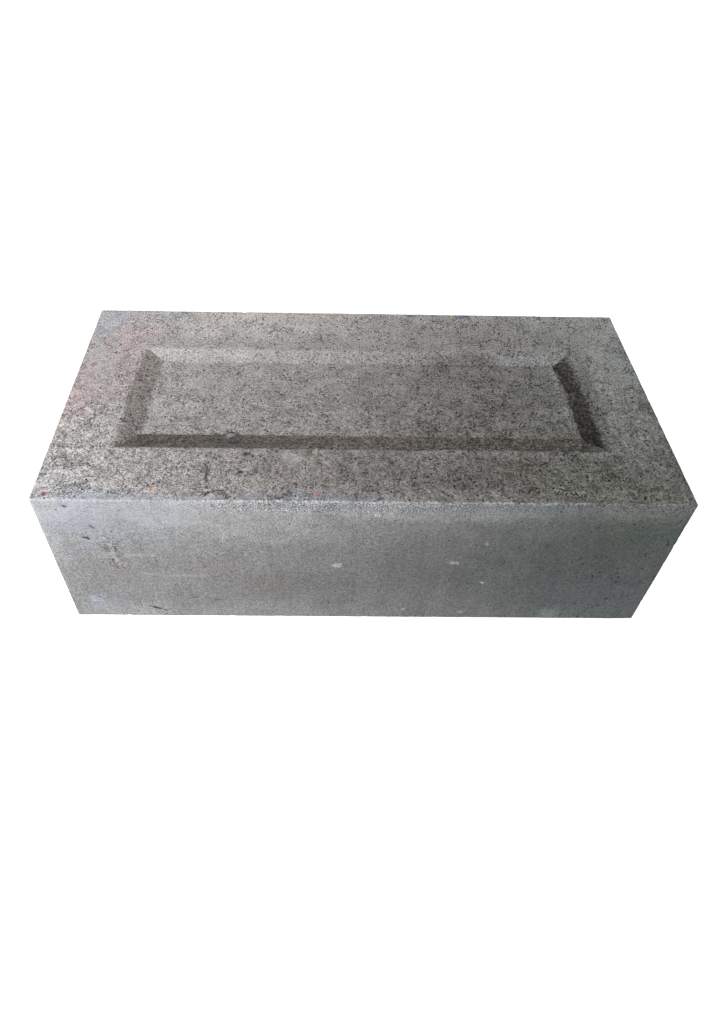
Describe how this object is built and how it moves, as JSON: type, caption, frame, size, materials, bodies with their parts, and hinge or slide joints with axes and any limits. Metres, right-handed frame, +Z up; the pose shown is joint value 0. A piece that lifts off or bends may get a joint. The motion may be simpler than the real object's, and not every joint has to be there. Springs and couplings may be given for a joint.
{
  "type": "fly ash brick",
  "caption": "Solid pressed fly ash brick with a shallow rectangular frog in its upper bed, for laying in mortar in walls.",
  "frame": {"origin": "middle of the lower bed, on the surface that the brick lies on", "axes": "+X along the stretcher faces, +Y across the bed from the front stretcher face to the back one, +Z up out of the frog"},
  "size_m": [0.23, 0.11, 0.075],
  "materials": {
    "fly_ash_mix": "matte"
  },
  "bodies": {
    "root": {"brick": "fly_ash_mix"}
  },
  "joints": []
}
